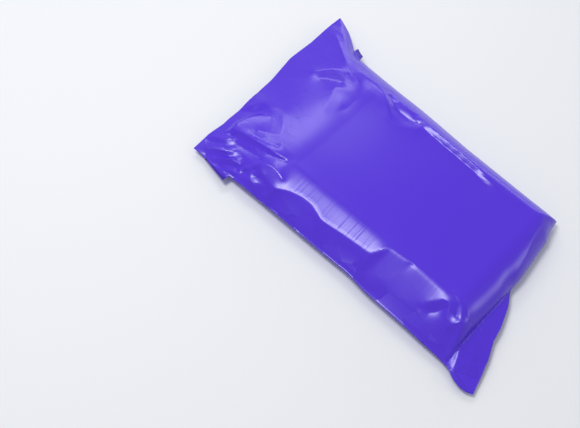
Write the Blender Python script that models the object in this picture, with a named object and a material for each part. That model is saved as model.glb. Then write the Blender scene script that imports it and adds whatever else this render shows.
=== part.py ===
"""A filled and sealed poly mailer: one film bag round a folded garment, lying flat.

The film is welded down both long sides and across the bottom end. The mouth is
closed by a flap folded under the bag and stuck to its underside. The pack pushes
the middle up to a flat top, and the empty film round it slopes to the seams.

Lengths are in metres. +X runs from the mouth to the bottom end, +Y from the front
seam to the back seam and +Z up. The origin is under the middle of the bag's box.
"""

import math

import bmesh
import bpy
import numpy as np

# The flat top that the pack gives the bag, and how high it stands.
TOP_LENGTH = 0.250
TOP_WIDTH = 0.134
TOP_HEIGHT = 0.037
TOP_CROWN = 0.0025

# How far the film runs out from the flat top to each edge of the bag.
MOUTH_REACH = 0.095
END_REACH = 0.020
FRONT_REACH = 0.053
BACK_REACH = 0.034

# The pack's end wall, past which the bottom fin lies flat.
END_WALL = 0.019

# How far the corners stand out from the straight edges, along X and along Y.
MOUTH_EAR_OUT = 0.012
MOUTH_EAR_BACK = 0.042
END_EAR_OUT = 0.041
END_EAR_FRONT = 0.010
END_CORNER_IN = 0.013

# Height of the edge above the ground, at the four corners and midway along the sides.
EDGE_AT_FRONT_MOUTH = 0.007
EDGE_AT_BACK_MOUTH = 0.011
EDGE_AT_FRONT_END = 0.005
EDGE_AT_BACK_END = 0.009
EDGE_RISE_SIDES = 0.006
EDGE_RISE_ENDS = 0.002

# Two films lie together at the edges. The flap is one more, stuck underneath.
FILM_PAIR = 0.0006
FLAP_FILM = 0.0005
FLAP_DEPTH = 0.055
FRONT_TAB = 0.009
BACK_TAB = 0.007

# Share of each slope that the underside needs to come down to the ground.
GROUND_SHARE = 0.62
MOUTH_GROUND_SHARE = 0.8

# Rows of the mesh over the mouth side, the flat top and the end side, and across
# over the front slope, the flat top and the back slope.
ROWS_ALONG = (22, 44, 9)
ROWS_ACROSS = (15, 24, 10)

FILM_COLOUR = (0.105, 0.048, 0.665, 1.0)
FILM_ROUGHNESS = 0.32

# Places on the bag are stations. Along it, -1 is the mouth edge, 0 and 1 are the ends
# of the flat top and 2 is the bottom edge. Across it, -1 is the front seam, 0 and 1
# are the sides of the flat top and 2 is the back seam.

# The wander of each edge from straight, as a station along the edge and a share of
# the ear that the edge ends in.
MOUTH_EDGE = ((-1, 0.0), (-0.58, 0.08), (-0.15, -0.1), (0.13, 0.0), (0.28, 0.1), (0.58, 0.35),
              (0.88, 0.95), (1.28, 0.85), (1.8, 1.0), (2, 1.0))
END_EDGE = ((-1, 1.0), (-0.68, 0.88), (-0.32, 0.73), (0.12, 0.46), (0.31, 0.24), (0.46, -0.03))
END_EDGE_IN = ((0.46, 0.0), (0.58, 0.0), (0.92, 0.4), (1.5, 0.85), (2, 1.0))
BACK_EDGE = ((-1, 1.0), (-0.88, 0.86), (-0.76, 0.7), (-0.65, 0.5), (-0.53, 0.26), (-0.44, 0.16),
             (-0.3, 0.14), (0.21, 0.05), (0.51, -0.07), (0.9, -0.11), (2, -0.05))
FRONT_EDGE = ((-1, 0.1), (-0.2, 0.0), (0.39, -0.2), (0.53, -0.3), (0.64, 0.0), (1.0, 0.1),
              (1.25, 0.1), (1.42, 0.25), (1.57, 0.75), (1.76, 1.0), (1.91, 0.85), (2, 0.5))

# Folds in the film. Each has the stations that it runs through, its height at the
# start, middle and end, and how far it falls off on its left and on its right.
FOLDS = (
    # From the mouth edge to the front corner of the flat top, on both sides of a facet.
    (((-0.97, 0.32), (-0.55, 0.34), (-0.28, 0.2), (0.0, 0.01)), (0.002, 0.0045, 0.001), 0.022, 0.012),
    (((-0.82, -0.2), (-0.45, -0.1), (-0.15, -0.02), (0.0, 0.0)), (0.002, 0.005, 0.001), 0.011, 0.016),
    (((-0.55, 0.33), (-0.72, 0.1), (-0.78, -0.18)), (0.001, 0.0025, 0.001), 0.008, 0.012),
    # From the tip of the back ear to the back corner of the flat top.
    (((-0.9, 1.6), (-0.5, 1.3), (-0.12, 1.05), (0.0, 0.85)), (0.002, 0.007, 0.002), 0.022, 0.035),
    (((-0.28, 0.85), (-0.1, 0.83), (-0.02, 0.6)), (0.001, 0.003, 0.001), 0.01, 0.016),
    # The gathers at the front mouth corner, which run to the front seam.
    (((-0.93, -0.55), (-0.75, -0.42), (-0.6, -0.35)), (0.002, 0.0035, 0.001), 0.008, 0.009),
    (((-0.98, -0.82), (-0.85, -0.78), (-0.72, -0.6)), (0.002, 0.004, 0.001), 0.008, 0.008),
    (((-0.75, -0.9), (-0.58, -0.74), (-0.42, -0.72), (-0.34, -0.9)), (0.001, 0.0045, 0.001), 0.007, 0.007),
    (((-0.36, -0.62), (-0.18, -0.42), (0.0, -0.42), (0.04, -0.7), (0.05, -0.97)),
     (0.001, 0.005, 0.002), 0.01, 0.009),
    (((-0.32, -0.92), (-0.18, -0.74), (-0.08, -0.82), (0.04, -0.98)), (0.001, 0.004, 0.001), 0.007, 0.006),
    # The ridge along the front of the flat top, and the lower edge of the wide bevel.
    (((0.04, -0.62), (0.12, -0.5), (0.24, -0.45), (0.32, -0.58), (0.55, -0.52)),
     (0.002, 0.0028, 0.001), 0.014, 0.007),
    (((0.58, -0.08), (0.75, 0.02), (0.93, 0.02), (1.05, -0.2), (1.3, -0.42)),
     (0.001, 0.003, 0.002), 0.012, 0.016),
    (((0.59, -0.06), (0.56, -0.5)), (0.001, 0.002, 0.001), 0.012, 0.006),
    # The crescent dents beside the end ear.
    (((0.86, -0.6), (0.89, -0.3), (0.95, -0.2), (1.0, -0.45)), (0.001, 0.004, 0.001), 0.009, 0.007),
    (((1.0, -0.45), (1.12, -0.3), (1.3, -0.36)), (0.001, 0.0035, 0.001), 0.006, 0.007),
    (((1.15, -0.42), (1.3, -0.68), (1.5, -0.95)), (0.003, 0.006, 0.002), 0.008, 0.009),
    # The pocket fold and the long ridge on the back slope.
    (((-0.25, 1.65), (0.05, 1.5), (0.14, 1.2), (0.2, 0.95), (0.27, 1.05), (0.32, 1.3)),
     (0.001, 0.0045, 0.001), 0.009, 0.012),
    (((0.24, 1.75), (0.4, 1.5), (0.62, 1.4), (0.88, 1.3)), (0.001, 0.0028, 0.001), 0.008, 0.011),
    # The ends of the pack showing through at the bottom end.
    (((1.1, 0.95), (1.5, 0.62), (1.85, 0.3), (1.7, 0.02), (1.6, -0.45)), (0.001, 0.0025, 0.001), 0.005, 0.006),
    (((1.9, 0.2), (1.78, -0.05), (1.72, -0.4), (1.72, -0.8)), (0.001, 0.003, 0.001), 0.006, 0.006),
)

CURVE_STEPS = 6
FOLD_CREST = 0.0009
LIFT_BLEND = 0.05


def bent(place, stops, rounding=0.03):
    """A line through the stops, with its kinks a little rounded."""
    at, value = np.array(stops, float).T
    nudges = (-rounding, -rounding / 2, 0, rounding / 2, rounding)
    return sum(np.interp(place + nudge, at, value) for nudge in nudges) / len(nudges)


def margin(station, near, far):
    """How far out of the flat top a station is, from 0 to 1 on its near and far side."""
    return np.clip(-station, 0, 1) * near, np.clip(station - 1, 0, 1) * far


def plan(along, across):
    """The place in plan of a pair of stations, from the front mouth corner of the flat top."""
    flat_x = np.clip(along, 0, 1) * TOP_LENGTH
    flat_y = np.clip(across, 0, 1) * TOP_WIDTH
    near_x, far_x = margin(along, 1, 1)
    near_y, far_y = margin(across, 1, 1)
    mouth = MOUTH_REACH + MOUTH_EAR_OUT * bent(across, MOUTH_EDGE)
    end = END_REACH + np.where(
        across < END_EDGE_IN[0][0],
        END_EAR_OUT * bent(across, END_EDGE),
        -END_CORNER_IN * bent(across, END_EDGE_IN),
    )
    front = FRONT_REACH + END_EAR_FRONT * bent(along, FRONT_EDGE)
    back = BACK_REACH + MOUTH_EAR_BACK * bent(along, BACK_EDGE)
    return flat_x - near_x * mouth + far_x * end, flat_y - near_y * front + far_y * back


def edge_height(along, across):
    """Height of the middle of the film pair, if nothing lay between its two films."""
    s = (along + 1) / 3
    t = (across + 1) / 3
    mouth = EDGE_AT_FRONT_MOUTH * (1 - t) + EDGE_AT_BACK_MOUTH * t
    end = EDGE_AT_FRONT_END * (1 - t) + EDGE_AT_BACK_END * t
    arch = 4 * s * (1 - s) * EDGE_RISE_SIDES + 4 * t * (1 - t) * EDGE_RISE_ENDS
    return mouth * (1 - s) + end * s + arch


def least(shares):
    """The smallest of several shares, with the corner between them rounded."""
    stack = np.array(shares)
    low = stack.min(axis=0)
    return np.clip(low - LIFT_BLEND * (np.exp((low - stack) / LIFT_BLEND).sum(axis=0) - 1) * 0.5, 0, 1)


def end_wall_share(along, across):
    """How far up the pack's end wall a station is. The fin past its foot gets 0."""
    reach = plan(np.full_like(along, 2.0), across)[0] - TOP_LENGTH
    out = plan(along, across)[0] - TOP_LENGTH
    return np.clip(1 - out / np.minimum(END_WALL, reach), 0, 1)


def lift(along, across):
    """How much of the pack's height the upper film has, from 0 at the edges to 1."""
    front = np.clip(across + 1, 0, 1)
    wall = 0.75 * (1 - (1 - np.clip(front / 0.5, 0, 1)) ** 1.5)
    bevel = np.where(front > 0.5, 1 - (1 - front) ** 2, wall)
    slope = front**0.85
    wide = np.clip((along - 0.62) / 0.1, 0, 1)
    back = 1 - (1 - np.clip(2 - across, 0, 1)) ** 1.9
    mouth = np.clip(along + 1, 0, 1)
    mouth = mouth - 0.05 * np.sin(np.pi * mouth)
    end = 1 - (1 - end_wall_share(along, across)) ** 1.8
    return least((bevel * (1 - wide) + slope * wide, back, mouth, end))


def smooth_line(points):
    """Points along a smooth curve through the given ones (a Catmull-Rom spline)."""
    fixed = np.array(points, float)
    padded = np.vstack([2 * fixed[0] - fixed[1], fixed, 2 * fixed[-1] - fixed[-2]])
    line = []
    for a, b, c, d in zip(padded, padded[1:], padded[2:], padded[3:]):
        for step in range(CURVE_STEPS):
            t = step / CURVE_STEPS
            line.append(0.5 * (2 * b + (c - a) * t + (2 * a - 5 * b + 4 * c - d) * t**2
                               + (3 * b - a - 3 * c + d) * t**3))
    line.append(fixed[-1])
    return np.array(line)


def fold_height(x, y, fold):
    """Height that one fold adds at each point of the plan."""
    stations, heights, left, right = fold
    line = smooth_line(stations)
    line = np.stack(plan(line[:, 0], line[:, 1]), axis=-1)
    steps = np.hypot(*np.diff(line, axis=0).T)
    travelled = np.concatenate([[0], np.cumsum(steps)]) / steps.sum()
    nearest = np.full(x.shape, np.inf)
    side = np.zeros(x.shape)
    share = np.zeros(x.shape)
    for k, (a, b) in enumerate(zip(line, line[1:])):
        run = b - a
        t = np.clip(((x - a[0]) * run[0] + (y - a[1]) * run[1]) / (run @ run), 0, 1)
        off_x = x - a[0] - t * run[0]
        off_y = y - a[1] - t * run[1]
        distance = np.hypot(off_x, off_y)
        closer = distance < nearest
        nearest = np.where(closer, distance, nearest)
        side = np.where(closer, run[0] * off_y - run[1] * off_x, side)
        share = np.where(closer, travelled[k] + t * (travelled[k + 1] - travelled[k]), share)
    width = np.where(side > 0, left, right)
    crest = np.sqrt(nearest**2 + FOLD_CREST**2) - FOLD_CREST
    height = np.interp(share, (0, 0.5, 1), heights)
    return height * np.clip(1 - crest / width, 0, 1) ** 1.6


def surfaces(along, across):
    """Plan place, upper height and lower height at each pair of stations."""
    x, y = plan(along, across)
    edge = edge_height(along, across)
    raised = lift(along, across)
    folds = sum(fold_height(x, y, fold) for fold in FOLDS)
    crown_along = 1 - (2 * np.clip(along, 0, 1) - 1) ** 2
    crown_across = 1 - (2 * np.clip(across, 0, 1) - 1) ** 2
    crown = TOP_CROWN * crown_along * crown_across
    upper = edge + FILM_PAIR / 2 + raised * (TOP_HEIGHT - edge) + crown + folds

    near_x, far_x = margin(along, 1, 1)
    near_y, far_y = margin(across, 1, 1)
    out = np.maximum.reduce([far_x, near_y, far_y])
    off_ground = np.maximum(
        np.clip((out - 1 + GROUND_SHARE) / GROUND_SHARE, 0, 1),
        np.clip((near_x - 1 + MOUTH_GROUND_SHARE) / MOUTH_GROUND_SHARE, 0, 1),
    ) ** 2
    empty = 1 - np.clip(raised / 0.2, 0, 1)
    lower = (edge - FILM_PAIR / 2 + folds * empty) * off_ground
    return x, y, upper, np.minimum(lower, upper - FILM_PAIR)


def station(row, rows):
    """The station of a mesh row, counted from the mouth edge or the front seam."""
    near, middle, far = rows
    return float(np.interp(row, (0, near, near + middle, near + middle + far), (-1, 0, 1, 2)))


def flap_row():
    """The mesh row of the underside that lies along the flap's edge."""
    return round(ROWS_ALONG[0] * FLAP_DEPTH / MOUTH_REACH)


def underside_station(row):
    """As station, but with two rows drawn together where the flap ends, for its step."""
    end = FLAP_DEPTH / MOUTH_REACH - 1
    return {flap_row(): end, flap_row() + 1: end + FLAP_FILM / MOUTH_REACH}.get(row, station(row, ROWS_ALONG))


def tab_reach(row):
    """How far the flap's ends stand out past the front and the back seam, at a row."""
    share = row / flap_row()
    front = FRONT_TAB * np.clip((share - 0.25) / 0.75, 0, 1) * (share <= 1)
    back = BACK_TAB * (0.8 <= share <= 1)
    return front, back


def sheet(bm, underside):
    """A grid of the bag's rows as one of its two films, and its boundary edges."""
    across_rows = sum(ROWS_ACROSS)
    along_rows = sum(ROWS_ALONG)
    made = bmesh.ops.create_grid(bm, x_segments=along_rows, y_segments=across_rows, size=1)
    verts = made["verts"]
    rows = [(round((v.co.x + 1) / 2 * along_rows), round((v.co.y + 1) / 2 * across_rows)) for v in verts]
    along = np.array([underside_station(row) if underside else station(row, ROWS_ALONG) for row, _ in rows])
    across = np.array([station(row, ROWS_ACROSS) for _, row in rows])
    x, y, upper, lower = surfaces(along, across)
    for k, (vert, (row, column)) in enumerate(zip(verts, rows)):
        vert.co = (x[k], y[k], lower[k] if underside else upper[k])
        if not underside:
            continue
        if row <= flap_row() and 0 < column < across_rows:
            vert.co.z -= FLAP_FILM * min(1, lower[k] / FLAP_FILM)
        front, back = tab_reach(row)
        vert.co.y += back * (column == across_rows) - front * (column == 0)
    faces = list({face for vert in verts for face in vert.link_faces})
    if underside:
        bmesh.ops.reverse_faces(bm, faces=faces)
    return [edge for edge in {e for f in faces for e in f.edges} if edge.is_boundary]


def merge_ground(bm):
    """One face where the underside lies flat on the ground, in place of many."""
    level = [f for f in bm.faces if max(abs(v.co.z) for v in f.verts) < 1e-7]
    bmesh.ops.dissolve_faces(bm, faces=level, use_verts=True)


def film_material():
    material = bpy.data.materials.new("purple_film")
    material.use_nodes = True
    shader = material.node_tree.nodes["Principled BSDF"]
    shader.inputs["Base Color"].default_value = FILM_COLOUR
    shader.inputs["Roughness"].default_value = FILM_ROUGHNESS
    shader.inputs["Metallic"].default_value = 0.0
    return material


def make_mailer():
    bm = bmesh.new()
    rims = sheet(bm, underside=False) + sheet(bm, underside=True)
    bmesh.ops.bridge_loops(bm, edges=rims)
    merge_ground(bm)
    bmesh.ops.recalc_face_normals(bm, faces=bm.faces)
    xs, ys, zs = np.array([v.co for v in bm.verts]).T
    middle = ((xs.min() + xs.max()) / 2, (ys.min() + ys.max()) / 2, zs.min())
    bmesh.ops.translate(bm, verts=bm.verts, vec=[-c for c in middle])
    mesh = bpy.data.meshes.new("mailer_bag")
    bm.to_mesh(mesh)
    bm.free()
    mesh.shade_smooth()
    mesh.set_sharp_from_angle(angle=math.radians(40))
    mesh.materials.append(film_material())
    bag = bpy.data.objects.new("mailer_bag", mesh)
    bpy.context.scene.collection.objects.link(bag)


for old in list(bpy.data.objects):
    bpy.data.objects.remove(old, do_unlink=True)
make_mailer()
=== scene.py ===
import math

import bmesh
import bpy
import numpy as np
from mathutils import Matrix, Vector


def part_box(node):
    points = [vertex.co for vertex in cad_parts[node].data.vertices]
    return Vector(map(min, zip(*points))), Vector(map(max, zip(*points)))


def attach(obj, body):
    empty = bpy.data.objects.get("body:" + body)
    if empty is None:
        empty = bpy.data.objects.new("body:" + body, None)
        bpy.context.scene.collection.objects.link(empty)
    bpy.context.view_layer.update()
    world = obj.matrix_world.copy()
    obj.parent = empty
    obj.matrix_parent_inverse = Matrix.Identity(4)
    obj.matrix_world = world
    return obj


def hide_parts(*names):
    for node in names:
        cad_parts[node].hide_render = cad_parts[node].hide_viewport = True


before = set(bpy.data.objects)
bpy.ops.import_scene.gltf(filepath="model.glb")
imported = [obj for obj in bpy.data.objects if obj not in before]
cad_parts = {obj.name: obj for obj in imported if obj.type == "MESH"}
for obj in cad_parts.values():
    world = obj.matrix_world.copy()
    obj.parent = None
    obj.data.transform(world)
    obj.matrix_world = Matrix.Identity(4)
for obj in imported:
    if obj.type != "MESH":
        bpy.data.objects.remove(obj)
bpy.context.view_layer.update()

# Lengths are in metres. Places on the bag are stations: along it, -1 is the mouth edge,
# 0 and 1 are the ends of the flat top and 2 is the bottom edge; across it, -1 is the
# front seam, 0 and 1 are the sides of the flat top and 2 is the back seam.
# A fade is the station where it starts and the length over which it grows to 1, which
# is negative where it grows towards lower stations.

bag = dict(
    topLength=0.225,
    topWidth=0.134,
    topHeight=0.036,
    topCrown=0.0015,
    crownSquareness=3,
    mouthReach=0.095,
    mouthRoll=0.014,  # how far the top starts to bend before the mouth slope
    endReach=0.045,
    frontReach=0.053,
    backReach=0.034,
    mouthEarOut=0.012,
    mouthEarBack=0.042,
    endEarOut=0.041,
    endEarFront=0.010,
    endCornerIn=0.013,
    cornerHeights=(0.007, 0.011, 0.005, 0.009),  # front mouth, back mouth, front end, back end
    riseAlongSides=0.006,
    riseAcrossEnds=0.002,
    groundShare=0.62,  # share of the slopes that the underside takes to rise off the floor
    mouthGroundShare=0.8,
    filmPair=0.0005,
    emptyBelow=0.2,  # share of the height under which the two films lie together
    flapFilm=0.0004,
    flapDepth=0.055,
    frontTab=0.009,
    frontTabFrom=0.25,  # share of the flap's depth where the tab starts
    backTab=0.007,
    backTabFrom=0.8,
    edgeRounding=0.03,
    slopeBlend=0.05,
    slopeBlendDepth=0.5,
    bevelFall=0.66,  # share of the height that the front bevel would lose over the whole front
    bevelRounding=0.01,
    bevelSoftening=(-0.04, -0.015, 0.015, 0.04),
    shoulders=dict(back=(2.0, 1.0), mouth=(1.45, 1.0), end=(2.2, 1.5)),  # fullness, foot
    rowsAlong=((0, -1), (90, 0), (110, 0.12), (190, 1), (246, 2)),  # row of the grid, station
    rowsAcross=((0, -1), (58, 0), (88, 0.35), (122, 1), (164, 2)),
    # How far each edge is drawn out or in, by station. Bevel is where the front bevel ends.
    edges=dict(
        mouth=((-1, 0.0), (-0.58, 0.08), (-0.15, -0.1), (0.13, 0.0), (0.28, 0.1), (0.58, 0.35),
               (0.88, 0.95), (1.28, 0.85), (1.8, 1.0), (2, 1.0)),
        end=((-1, 1.0), (-0.68, 0.88), (-0.32, 0.73), (0.12, 0.46), (0.31, 0.24), (0.46, -0.03)),
        endIn=((0.46, 0.0), (0.58, 0.0), (0.92, 0.4), (1.5, 0.85), (2, 1.0)),
        back=((-1, 1.0), (-0.88, 0.86), (-0.76, 0.7), (-0.65, 0.5), (-0.53, 0.26), (-0.44, 0.16),
              (-0.3, 0.14), (0.23, 0.05), (0.57, -0.07), (1.0, -0.11), (2, -0.05)),
        front=((-1, 0.1), (-0.2, 0.0), (0.43, -0.2), (0.59, -0.3), (0.71, 0.0), (1.1, 0.1),
               (1.46, 0.1), (1.59, 0.25), (1.69, 0.75), (1.83, 1.0), (1.94, 0.85), (2, 0.5)),
        bevel=((-1, -0.5), (-0.3, -0.5), (-0.1, -0.62), (0.06, -0.7), (0.12, -0.55), (0.2, -0.46),
               (0.26, -0.46), (0.34, -0.58), (0.42, -0.54), (0.52, -0.5), (0.63, -0.47),
               (0.67, -0.14), (0.8, -0.1), (2, -0.1)),
    ),
    # Each crease is a line of stations with its height over the smooth bag, in millimetres.
    creases=dict(
        mouthPleat=(
            ((-1.0, 0.39, 0.6), (-0.88, 0.35, 2.4), (-0.8, 0.32, 3.4)),
            ((-1.0, 0.305, 1.6), (-0.9, 0.31, 2.6), (-0.8, 0.32, 3.4)),
            ((-0.99, 0.2, 0.6), (-0.9, 0.23, 2.2), (-0.84, 0.28, 3.0), (-0.8, 0.32, 3.4)),
            ((-0.97, 0.14, -0.6), (-0.87, 0.18, -0.6), (-0.76, 0.24, -0.2)),
        ),
        archFacet=(
            ((-0.8, 0.32, 3.4), (-0.69, 0.31, 3.2), (-0.6, 0.33, 3.2), (-0.5, 0.31, 3.0),
             (-0.37, 0.215, 2.7), (-0.27, 0.12, 2.2), (-0.12, 0.03, 1.2), (0.0, -0.01, 0.2)),
            ((-0.6, 0.21, 3.4), (-0.72, 0.15, 4.0), (-0.79, 0.07, 4.4), (-0.835, -0.05, 4.4),
             (-0.83, -0.18, 3.8)),
            ((-0.68, 0.21, 1.2), (-0.78, 0.16, 1.0), (-0.86, 0.06, 0.9), (-0.89, -0.06, 0.8),
             (-0.88, -0.22, 0.8)),
            ((-0.27, 0.115, 2.2), (-0.4, 0.07, 2.3), (-0.55, 0.03, 3.0)),
            ((-0.2, 0.02, 0.9), (-0.4, -0.02, 1.7), (-0.6, -0.05, 2.8)),
        ),
        dimpleCrease=(
            ((0.02, -0.03, 0.0), (-0.05, -0.08, 1.0), (-0.15, -0.105, 1.8), (-0.3, -0.115, 2.6),
             (-0.5, -0.145, 3.4), (-0.7, -0.165, 4.0), (-0.83, -0.18, 3.8)),
            ((0.0, -0.12, -0.3), (-0.15, -0.18, 0.0), (-0.35, -0.22, 0.4), (-0.6, -0.25, 0.8),
             (-0.8, -0.3, 0.8)),
        ),
        cornerGathers=(
            ((-0.99, -0.6, 0.5), (-0.85, -0.52, 2.2), (-0.7, -0.36, 2.4)),
            ((-0.95, -0.68, -0.3), (-0.8, -0.6, -0.4), (-0.6, -0.42, -0.3)),
            ((-0.92, -0.84, 0.4), (-0.79, -0.74, 1.8), (-0.67, -0.66, 2.0), (-0.57, -0.56, 0.8)),
            ((-0.84, -0.92, -0.3), (-0.7, -0.82, -0.5), (-0.55, -0.66, -0.5), (-0.42, -0.54, -0.3)),
            ((-0.7, -0.89, 0.8), (-0.6, -0.79, 2.0), (-0.52, -0.735, 2.2), (-0.41, -0.7, 1.0)),
            ((-0.62, -0.95, -0.3), (-0.5, -0.83, -0.5), (-0.38, -0.78, -0.5), (-0.28, -0.76, -0.3)),
            ((-0.52, -0.97, 0.6), (-0.42, -0.9, 1.6), (-0.33, -0.86, 1.0)),
            ((-0.56, -0.36, -0.4), (-0.4, -0.38, -0.6), (-0.24, -0.36, -0.3)),
        ),
        frontArch=(
            ((-0.38, -0.84, 0.5), (-0.28, -0.7, 2.2), (-0.2, -0.52, 3.6), (-0.1, -0.42, 3.8),
             (0.0, -0.4, 3.2), (0.06, -0.46, 2.6)),
            ((-0.2, -0.63, 1.6), (-0.13, -0.6, 2.2), (-0.06, -0.63, 1.6)),
            ((-0.16, -0.72, 0.4), (-0.08, -0.7, 0.2), (0.0, -0.72, 0.0), (0.02, -0.86, -0.2)),
            ((-0.36, -0.95, 0.2), (-0.27, -0.88, 1.6), (-0.18, -0.83, 2.2), (-0.1, -0.86, 2.0),
             (-0.04, -0.94, 1.0)),
            ((0.02, -0.98, 0.2), (0.04, -0.86, 1.2), (0.06, -0.74, 1.4)),
        ),
        frontBevel=(
            ((0.06, -0.74, 1.4), (0.13, -0.53, 1.2), (0.2, -0.46, 1.0), (0.26, -0.46, 1.0),
             (0.34, -0.58, 1.2), (0.45, -0.53, 0.8), (0.55, -0.5, 0.8), (0.63, -0.48, 0.8)),
            ((0.63, -0.48, 0.8), (0.648, -0.35, 1.2), (0.66, -0.2, 1.4), (0.675, -0.12, 1.2)),
            ((0.675, -0.12, 1.2), (0.76, -0.09, 1.0), (0.84, -0.05, 1.0), (0.94, -0.01, 1.0),
             (1.08, 0.01, 1.4)),
            ((0.8, -0.08, 0.4), (0.79, -0.3, 0.5), (0.765, -0.6, 0.5), (0.74, -0.92, 0.2)),
        ),
        frontSeam=(
            ((0.05, -0.99, 0.4), (0.14, -0.955, 1.0), (0.22, -0.94, 1.0), (0.28, -0.99, 0.4)),
            ((0.54, -0.97, 0.4), (0.59, -0.9, 0.9), (0.68, -0.97, 0.5)),
            ((0.73, -0.985, 0.4), (0.85, -0.93, 0.8), (0.98, -0.9, 0.8), (1.12, -0.88, 0.5)),
        ),
        endCrescents=(
            ((0.955, -0.6, 0.2), (0.975, -0.42, 1.4), (1.03, -0.24, 1.9), (1.13, -0.19, 2.3)),
            ((1.13, -0.19, 2.3), (1.15, -0.3, 0.6), (1.08, -0.42, -0.4), (1.0, -0.54, -0.4)),
            ((1.13, -0.19, 2.3), (1.2, -0.36, 2.0), (1.3, -0.56, 1.4)),
            ((1.3, -0.56, 1.4), (1.37, -0.4, 2.6), (1.45, -0.27, 3.0), (1.52, -0.19, 3.0)),
            ((1.08, 0.01, 1.6), (1.28, -0.02, 2.2), (1.43, -0.08, 2.8), (1.52, -0.19, 3.0)),
            ((1.26, -0.14, 0.8), (1.33, -0.3, 0.6)),
            ((1.52, -0.19, 3.0), (1.56, -0.4, 3.2), (1.6, -0.65, 2.6), (1.66, -0.95, 0.8)),
            ((1.4, -0.55, 0.0), (1.48, -0.75, -0.6), (1.54, -0.95, 0.0)),
        ),
        backEar=(
            ((-0.97, 1.8, 1.0), (-0.88, 1.67, 2.6), (-0.75, 1.6, 4.0), (-0.5, 1.42, 5.6),
             (-0.3, 1.1, 4.6), (-0.12, 0.98, 2.8), (-0.03, 0.9, 1.4), (0.0, 0.82, 0.6),
             (0.0, 0.7, 0.2)),
            ((-0.62, 0.86, 3.0), (-0.5, 0.95, 3.6), (-0.4, 1.0, 3.8), (-0.28, 1.01, 3.6)),
            ((-0.5, 0.84, 0.4), (-0.38, 0.89, 0.4), (-0.28, 0.9, 0.4)),
            ((-0.29, 0.83, 2.2), (-0.2, 0.855, 2.0), (-0.1, 0.88, 1.6), (-0.03, 0.9, 1.4)),
            ((-0.29, 0.83, 2.2), (-0.22, 0.71, 1.6), (-0.16, 0.58, 0.8)),
            ((-0.13, 0.75, 1.4), (-0.07, 0.7, 1.0), (-0.02, 0.67, 0.4)),
        ),
        backPocket=(
            ((-0.28, 1.55, 0.2), (-0.1, 1.46, 1.6), (0.0, 1.38, 2.2), (0.06, 1.28, 2.4),
             (0.12, 1.06, 2.2), (0.17, 0.95, 1.6), (0.22, 0.89, 1.0), (0.27, 0.92, 1.0),
             (0.34, 1.0, 1.0)),
            ((0.1, 1.35, -0.6), (0.15, 1.2, -1.2), (0.2, 1.1, -1.4), (0.27, 1.1, -1.2),
             (0.33, 1.18, -0.4)),
            ((0.15, 1.4, 1.6), (0.25, 1.37, 2.0), (0.28, 1.43, 2.4), (0.33, 1.34, 2.8),
             (0.45, 1.27, 3.2), (0.6, 1.22, 3.0), (0.8, 1.1, 2.0), (0.95, 1.0, 0.8)),
            ((0.3, 1.15, 0.4), (0.5, 1.08, 0.3), (0.8, 0.96, 0.2)),
        ),
        endEdge=(
            ((1.4, 1.4, 0.6), (1.6, 1.2, 1.2), (1.66, 0.86, 2.0), (1.8, 0.71, 2.2),
             (1.88, 0.55, 2.0), (1.97, 0.46, 0.6)),
            ((1.97, 0.42, 0.6), (1.86, 0.37, 1.8), (1.79, 0.28, 2.2), (1.78, 0.0, 2.2),
             (1.79, -0.5, 1.8), (1.86, -0.9, 0.8)),
        ),
    ),
    creaseLift=1.35,
    curveSteps=6,
    creaseSampling=0.2,  # in rows of the grid
    settle=0.017,  # how far from a crease the film comes back to the smooth bag
    settleTurns=700,
    leastGap=1e-9,  # in square metres, so that points brought close together don't pull too hard
    crestPasses=1,
    # Where the film is stretched, as shares of the streaks in its finish.
    stretch=dict(least=0.12, under=0.1, overCorner=0.08, top=(0.05, -0.2), start=(0.02, 0.15),
                 stop=(0.68, -0.04)),
    # Where it is crumpled, as shares of the crinkles in its finish.
    crinkleUnder=0.3,
    crinkles=(
        dict(share=1.0, along=(0, -0.4), across=(0.08, -0.4)),  # front mouth corner
        dict(share=0.12, along=(0, -0.5)),  # mouth
        dict(share=0.35, along=(0, -0.5), across=(0.7, 0.3)),  # back ear
        dict(share=0.5, across=(-0.6, -0.3)),  # front seam
        dict(share=0.6, along=(1, 0.3), across=(0, -0.5)),  # end ear
    ),
)


def fade(station, start, length):
    return np.clip((station - start) / length, 0, 1)


def bentLine(station, stops, rounding):
    at, value = np.array(stops, float).T
    nudges = (-rounding, -rounding / 2, 0, rounding / 2, rounding)
    return sum(np.interp(station + nudge, at, value) for nudge in nudges) / len(nudges)


def edgeLine(station, name):
    return bentLine(station, bag["edges"][name], bag["edgeRounding"])


def bevelCorner(along):
    return bentLine(along, bag["edges"]["bevel"], bag["bevelRounding"])


def planOf(along, across):
    mouth = bag["mouthReach"] + bag["mouthEarOut"] * edgeLine(across, "mouth")
    earEnd = bag["endEarOut"] * edgeLine(across, "end")
    cornerEnd = -bag["endCornerIn"] * edgeLine(across, "endIn")
    earStops = bag["edges"]["endIn"][0][0]
    end = bag["endReach"] + np.where(across < earStops, earEnd, cornerEnd)
    front = bag["frontReach"] + bag["endEarFront"] * edgeLine(along, "front")
    back = bag["backReach"] + bag["mouthEarBack"] * edgeLine(along, "back")
    x = np.clip(along, 0, 1) * bag["topLength"] - np.clip(-along, 0, 1) * mouth
    y = np.clip(across, 0, 1) * bag["topWidth"] - np.clip(-across, 0, 1) * front
    return x + np.clip(along - 1, 0, 1) * end, y + np.clip(across - 1, 0, 1) * back


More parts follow.
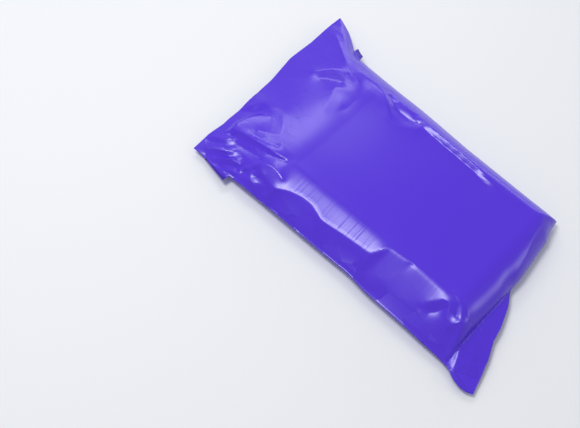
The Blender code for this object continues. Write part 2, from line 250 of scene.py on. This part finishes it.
# The height of the seams and of the two open ends, where the films meet.
def edgeHeight(along, across):
    s = (along + 1) / 3
    t = (across + 1) / 3
    frontMouth, backMouth, frontEnd, backEnd = bag["cornerHeights"]
    atMouth = frontMouth * (1 - t) + backMouth * t
    atEnd = frontEnd * (1 - t) + backEnd * t
    rise = 4 * s * (1 - s) * bag["riseAlongSides"] + 4 * t * (1 - t) * bag["riseAcrossEnds"]
    return atMouth * (1 - s) + atEnd * s + rise


# The lowest of the slopes, with the corners between them rounded off.
def leastShare(shares):
    stack = np.array(shares)
    low = stack.min(axis=0)
    soft = bag["slopeBlend"]
    rounding = soft * (np.exp((low - stack) / soft).sum(axis=0) - 1)
    return np.clip(low - rounding * bag["slopeBlendDepth"], 0, 1)


def shoulder(share, side):
    fullness, foot = bag["shoulders"][side]
    return (1 - (1 - np.clip(share, 0, 1)) ** fullness) ** (1 / foot)


# The front falls gently over the bevel, and steeply from the bevel's corner to the seam.
def frontShare(along, across):
    corner = 1 + bevelCorner(along)
    cornerShare = 1 - bag["bevelFall"] * (1 - corner)
    share = 0
    for nudge in bag["bevelSoftening"]:
        front = np.clip(across + 1 + nudge * np.clip(across + 1, 0, 1), 0, 1)
        bevel = 1 - bag["bevelFall"] * (1 - front)
        share = share + np.where(front > corner, bevel, front / corner * cornerShare)
    return share / len(bag["bevelSoftening"])


# How much of the top's height each place has, from 0 at the edges to 1 on the flat top.
def liftShare(along, across):
    reach = planOf(np.full_like(along, 2.0), across)[0] - bag["topLength"]
    out = planOf(along, across)[0] - bag["topLength"]
    endShare = 1 - out / np.minimum(bag["endReach"], reach)
    flat = np.where(along < 0, along * bag["mouthReach"], along * bag["topLength"])
    mouthShare = (flat + bag["mouthReach"]) / (bag["mouthReach"] + bag["mouthRoll"])
    front = frontShare(along, across)
    mouth = shoulder(mouthShare, "mouth")
    back = shoulder(2 - across, "back")
    end = shoulder(endShare, "end")
    return leastShare((front, front * mouth, back, end))


def smoothLine(points):
    fixed = np.array(points, float)
    padded = np.vstack([2 * fixed[0] - fixed[1], fixed, 2 * fixed[-1] - fixed[-2]])
    line = []
    for a, b, c, d in zip(padded, padded[1:], padded[2:], padded[3:]):
        for step in range(bag["curveSteps"]):
            t = step / bag["curveSteps"]
            bend = (2 * a - 5 * b + 4 * c - d) * t**2 + (3 * b - a - 3 * c + d) * t**3
            line.append((2 * b + (c - a) * t + bend) / 2)
    line.append(fixed[-1])
    return np.array(line)


def rowOf(station, rows):
    row, at = np.array(rows, float).T
    return np.interp(station, at, row)


def stationOf(place, rows):
    row, at = np.array(rows, float).T
    return np.interp(place, row, at)


def creaseSamples():
    samples = []
    for lines in bag["creases"].values():
        for points in lines:
            along, across, height = smoothLine(points).T
            line = np.stack([rowOf(along, bag["rowsAlong"]), rowOf(across, bag["rowsAcross"]),
                             height * bag["creaseLift"] / 1000])
            run = np.concatenate([[0], np.cumsum(np.hypot(*np.diff(line[:2])))])
            at = np.arange(0, run[-1], bag["creaseSampling"])
            samples.append(np.stack([np.interp(at, run, values) for values in line], axis=-1))
    return np.vstack(samples)


# The grid's points move onto the creases, where the film is held at the crease's height.
def filmGrid():
    lastRow, lastColumn = bag["rowsAlong"][-1][0], bag["rowsAcross"][-1][0]
    row, column = np.meshgrid(np.arange(lastRow + 1.0), np.arange(lastColumn + 1.0), indexing="ij")
    height = np.zeros(row.shape)
    held = np.zeros(row.shape, bool)
    samples = creaseSamples()
    nearest = np.clip(np.round(samples[:, :2]).astype(int), 0, (lastRow, lastColumn))
    off = np.hypot(*(samples[:, :2] - nearest).T)
    for k in np.argsort(-off):
        i, j = nearest[k]
        held[i, j] = True
        height[i, j] = samples[k, 2]
        if 0 < i < lastRow and 0 < j < lastColumn:
            row[i, j], column[i, j] = samples[k, :2]
    return stationOf(row, bag["rowsAlong"]), stationOf(column, bag["rowsAcross"]), height, held


def beside(values):
    padded = np.pad(values, 1, mode="edge")
    return padded[:-2, 1:-1], padded[2:, 1:-1], padded[1:-1, :-2], padded[1:-1, 2:]


# The film hangs between the creases and settles back to the smooth bag away from them.
def hungFilm(x, y, height, held):
    pull = []
    for nearX, nearY in zip(beside(x), beside(y)):
        gap = (nearX - x) ** 2 + (nearY - y) ** 2
        pull.append(np.where(gap > 0, 1 / np.maximum(gap, bag["leastGap"]), 0))
    total = sum(pull) + 1 / bag["settle"] ** 2
    hung = height.copy()
    for _ in range(bag["settleTurns"]):
        level = sum(weight * near for weight, near in zip(pull, beside(hung))) / total
        hung = np.where(held, height, level)
    for _ in range(bag["crestPasses"]):
        hung = hung / 2 + sum(beside(hung)) / 8
    return hung


def crownOf(along, across):
    ends, sides = (np.abs(2 * np.clip(station, 0, 1) - 1) ** bag["crownSquareness"]
                   for station in (along, across))
    return ((1 - ends) * (1 - sides)) ** 2


def offGround(along, across):
    mouth = np.clip(-along, 0, 1)
    others = (np.clip(along - 1, 0, 1), np.clip(-across, 0, 1), np.clip(across - 1, 0, 1))
    out = np.maximum.reduce(others)
    return np.maximum(np.clip((out - 1) / bag["groundShare"] + 1, 0, 1),
                      np.clip((mouth - 1) / bag["mouthGroundShare"] + 1, 0, 1)) ** 2


def surfaces(along, across, height, held):
    x, y = planOf(along, across)
    edge = edgeHeight(along, across)
    raised = liftShare(along, across)
    ridges = hungFilm(x, y, height, held)
    crown = bag["topCrown"] * crownOf(along, across)
    upper = edge + bag["filmPair"] / 2 + raised * (bag["topHeight"] - edge) + crown + ridges
    empty = 1 - np.clip(raised / bag["emptyBelow"], 0, 1)
    lower = (edge - bag["filmPair"] / 2 + ridges * empty) * offGround(along, across)
    return x, y, upper, np.minimum(lower, upper - bag["filmPair"])


def filmSheet(bm, surface, underside):
    along, x, y, upper, lower = surface
    rows, columns = along.shape[0] - 1, along.shape[1] - 1
    verts = bmesh.ops.create_grid(bm, x_segments=rows, y_segments=columns, size=1)["verts"]
    place = np.array([v.co for v in verts])
    i = np.round((place[:, 0] + 1) / 2 * rows).astype(int)
    j = np.round((place[:, 1] + 1) / 2 * columns).astype(int)
    x, y, z = x[i, j], y[i, j], upper[i, j]
    if underside:
        depth = (along[i, j] + 1) * bag["mouthReach"] / bag["flapDepth"]
        onFlap = depth <= 1
        inside = (j > 0) & (j < columns)
        z = lower[i, j]
        z = z - np.minimum(bag["flapFilm"], z) * onFlap * inside
        frontTab = np.clip((depth - bag["frontTabFrom"]) / (1 - bag["frontTabFrom"]), 0, 1)
        y = y - bag["frontTab"] * frontTab * onFlap * (j == 0)
        y = y + bag["backTab"] * (depth >= bag["backTabFrom"]) * onFlap * (j == columns)
    for vert, co in zip(verts, zip(x, y, z)):
        vert.co = co
    faces = list({face for vert in verts for face in vert.link_faces})
    if underside:
        bmesh.ops.reverse_faces(bm, faces=faces)
    return [edge for edge in {e for f in faces for e in f.edges} if edge.is_boundary]


def stretchOf(along, across):
    stretch = bag["stretch"]
    share = fade(across, bevelCorner(along), stretch["overCorner"]) * fade(across, *stretch["top"])
    share = share * fade(along, *stretch["start"]) * fade(along, *stretch["stop"])
    return stretch["least"] + (1 - stretch["least"]) * share


def crinkleOf(along, across):
    shares = []
    for patch in bag["crinkles"]:
        share = np.full_like(along, patch["share"])
        if "along" in patch:
            share = share * fade(along, *patch["along"])
        if "across" in patch:
            share = share * fade(across, *patch["across"])
        shares.append(share)
    return np.maximum.reduce(shares)


# The mesh holds the upper film's points first, in lines along the bag, and then the lower's.
def markFilm(mesh, name, upperShare, underShare):
    shares = np.concatenate([upperShare.T.ravel(), np.full(upperShare.size, underShare)])
    mesh.attributes.new(name, "FLOAT", "POINT").data.foreach_set("value", shares)


def makeBag():
    along, across, height, held = filmGrid()
    surface = (along, *surfaces(along, across, height, held))
    bm = bmesh.new()
    rims = filmSheet(bm, surface, False) + filmSheet(bm, surface, True)
    bmesh.ops.bridge_loops(bm, edges=rims)
    bmesh.ops.recalc_face_normals(bm, faces=bm.faces)
    low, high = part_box("mailer_bag")
    co = np.array([v.co for v in bm.verts])
    middle = (co.min(axis=0) + co.max(axis=0)) / 2
    shift = Vector(((low[0] + high[0]) / 2 - middle[0], (low[1] + high[1]) / 2 - middle[1],
                    low[2] - co[:, 2].min()))
    bmesh.ops.translate(bm, verts=bm.verts, vec=shift)
    mesh = bpy.data.meshes.new("filmBag")
    bm.to_mesh(mesh)
    bm.free()
    mesh.shade_smooth()
    markFilm(mesh, "stretch", stretchOf(along, across), bag["stretch"]["under"])
    markFilm(mesh, "crinkle", crinkleOf(along, across), bag["crinkleUnder"])
    piece = bpy.data.objects.new("filmBag", mesh)
    bpy.context.scene.collection.objects.link(piece)
    print("bag made:", len(mesh.polygons), "faces")
    return piece


class Socket:
    def __init__(self, tree, link=None):
        self.tree = tree
        self.link = link

    def node(self, kind, settings=None, inputs=None):
        made = self.tree.nodes.new(kind)
        for name, value in (settings or {}).items():
            setattr(made, name, value)
        for name, value in (inputs or {}).items():
            if isinstance(value, Socket):
                self.tree.links.new(value.link, made.inputs[name])
            else:
                made.inputs[name].default_value = value
        return made

    def out(self, made, name=0):
        return Socket(self.tree, made.outputs[name])

    def math(self, operation, *values):
        settings = dict(operation=operation)
        return self.out(self.node("ShaderNodeMath", settings, dict(enumerate(values))))

    def vector(self, operation, *values, name="Vector"):
        settings = dict(operation=operation)
        made = self.node("ShaderNodeVectorMath", settings, dict(enumerate(values)))
        return self.out(made, name)

    def __add__(self, other):
        return self.math("ADD", self, other)

    __radd__ = __add__

    def __mul__(self, other):
        return self.math("MULTIPLY", self, other)

    __rmul__ = __mul__


finish = dict(
    colour=(0.07, 0.014, 0.62),
    roughness=0.27,
    streakScale=(280.0, 6.0, 6.0),
    streakDetail=1.0,
    streakHeight=0.00028,
    crinkleScale=(34.0, 62.0, 40.0),
    crinkleTurn=(0.0, 0.0, 0.5),
    crinkleHeight=0.007,
)


def filmMaterial():
    material = bpy.data.materials.new("purpleFilm")
    material.use_nodes = True
    tree = material.node_tree
    shader = tree.nodes["Principled BSDF"]
    shader.inputs["Base Color"].default_value = (*finish["colour"], 1)
    shader.inputs["Roughness"].default_value = finish["roughness"]
    base = Socket(tree)
    place = base.out(base.node("ShaderNodeTexCoord"), "Object")

    # streaks where the film is stretched over the contents
    streakPlace = base.out(base.node("ShaderNodeMapping", inputs=dict(
        Vector=place, Scale=finish["streakScale"])))
    streaks = base.out(base.node("ShaderNodeTexNoise", inputs=dict(
        Vector=streakPlace, Scale=1.0, Detail=finish["streakDetail"])))
    stretch = base.out(base.node("ShaderNodeAttribute", dict(attribute_name="stretch")), "Fac")
    streakBump = base.node("ShaderNodeBump", inputs=dict(
        Height=streaks * stretch, Distance=finish["streakHeight"]))

    # crinkles: small facets, each tilted by the random colour of its cell
    crinklePlace = base.out(base.node("ShaderNodeMapping", inputs=dict(
        Vector=place, Scale=finish["crinkleScale"], Rotation=finish["crinkleTurn"])))
    cell = base.node("ShaderNodeTexVoronoi", inputs=dict(Vector=crinklePlace, Scale=1.0))
    fromCell = base.vector("SUBTRACT", crinklePlace, base.out(cell, "Position"))
    meanColour = (0.5, 0.5, 0.5)
    tilt = base.vector("SUBTRACT", base.out(cell, "Color"), meanColour)
    crinkles = base.vector("DOT_PRODUCT", fromCell, tilt, name="Value")
    crinkled = base.out(base.node("ShaderNodeAttribute", dict(attribute_name="crinkle")), "Fac")
    crinkleBump = base.node("ShaderNodeBump", inputs=dict(
        Height=crinkles * crinkled, Distance=finish["crinkleHeight"], Normal=base.out(streakBump)))
    tree.links.new(crinkleBump.outputs[0], shader.inputs["Normal"])
    print("film material made:", len(tree.nodes), "nodes")
    return material


floorPaper = dict(
    size=6.0,
    colour=(0.8, 0.81, 0.825),
    roughness=0.9,
)


def makeFloor():
    bm = bmesh.new()
    bmesh.ops.create_grid(bm, x_segments=1, y_segments=1, size=floorPaper["size"])
    mesh = bpy.data.meshes.new("floor")
    bm.to_mesh(mesh)
    bm.free()
    floor = bpy.data.objects.new("floor", mesh)
    bpy.context.scene.collection.objects.link(floor)
    material = bpy.data.materials.new("floorPaper")
    material.use_nodes = True
    shader = material.node_tree.nodes["Principled BSDF"]
    shader.inputs["Base Color"].default_value = (*floorPaper["colour"], 1)
    shader.inputs["Roughness"].default_value = floorPaper["roughness"]
    mesh.materials.append(material)
    print("floor laid")


view = dict(
    azimuth=36.28,
    elevation=60.0,
    roll=8.0,
    focalPixels=900.0,
    frameWidth=580.0,
    sensorWidth=36,
    distance=0.9941,
    target=(-0.0639, -0.1085, 0.0),
)


def makeCamera():
    a, e, r = (math.radians(view[k]) for k in ("azimuth", "elevation", "roll"))
    back = Vector((math.sin(a) * math.cos(e), -math.cos(a) * math.cos(e), math.sin(e)))
    side = (-back).cross(Vector((0, 0, 1))).normalized()
    up = side.cross(-back)
    right = math.cos(r) * side + math.sin(r) * up
    upRolled = -math.sin(r) * side + math.cos(r) * up
    data = bpy.data.cameras.new("camera")
    data.sensor_width = view["sensorWidth"]
    data.lens = view["focalPixels"] / view["frameWidth"] * data.sensor_width
    camera = bpy.data.objects.new("camera", data)
    place = Matrix.Translation(Vector(view["target"]) + back * view["distance"])
    camera.matrix_world = place @ Matrix((right, upRolled, back)).transposed().to_4x4()
    bpy.context.scene.collection.objects.link(camera)
    bpy.context.scene.camera = camera
    print("camera placed")


lamps = (
    dict(name="key", towards=(-0.29, -0.22, 0.93), distance=1.7, size=(0.36, 0.5), power=13.5),
    dict(name="side", towards=(-0.58, 0.41, 0.7), distance=1.8, size=(1.0, 0.3), power=6),
    dict(name="low", towards=(-0.3, 0.95, 0.2), distance=1.8, size=(1.5, 0.5), power=4),
    dict(name="far", towards=(0.8, 0.5, 0.4), distance=1.8, size=(0.35, 0.5), power=2),
)

room = dict(
    colour=(0.93, 0.95, 1.0),
    light=0.48,
    shine=0.8,  # how bright it looks to the camera and in reflections
)


def makeLamps():
    for lamp in lamps:
        data = bpy.data.lights.new(lamp["name"], "AREA")
        data.shape = "RECTANGLE"
        data.size, data.size_y = lamp["size"]
        data.energy = lamp["power"]
        towards = Vector(lamp["towards"]).normalized()
        holder = bpy.data.objects.new(lamp["name"], data)
        holder.location = towards * lamp["distance"]
        holder.rotation_euler = towards.to_track_quat("Z", "Y").to_euler()
        bpy.context.scene.collection.objects.link(holder)
    print("lamps hung:", len(lamps))


def makeRoom():
    world = bpy.data.worlds.new("room")
    bpy.context.scene.world = world
    world.use_nodes = True
    tree = world.node_tree
    base = Socket(tree)
    path = base.node("ShaderNodeLightPath")
    byCamera = base.out(path, "Is Camera Ray")
    inGloss = base.out(path, "Is Glossy Ray")
    throughGlass = base.out(path, "Is Transmission Ray")
    seen = byCamera + inGloss + throughGlass
    strength = seen * (room["shine"] - room["light"]) + room["light"]
    background = tree.nodes["Background"]
    background.inputs["Color"].default_value = (*room["colour"], 1)
    tree.links.new(strength.link, background.inputs["Strength"])
    print("room lit")


bagPiece = makeBag()
bagPiece.data.materials.append(filmMaterial())
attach(bagPiece, "root")
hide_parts("mailer_bag")
makeFloor()
makeCamera()
makeLamps()
makeRoom()
bpy.context.scene.view_settings.view_transform = "Standard"
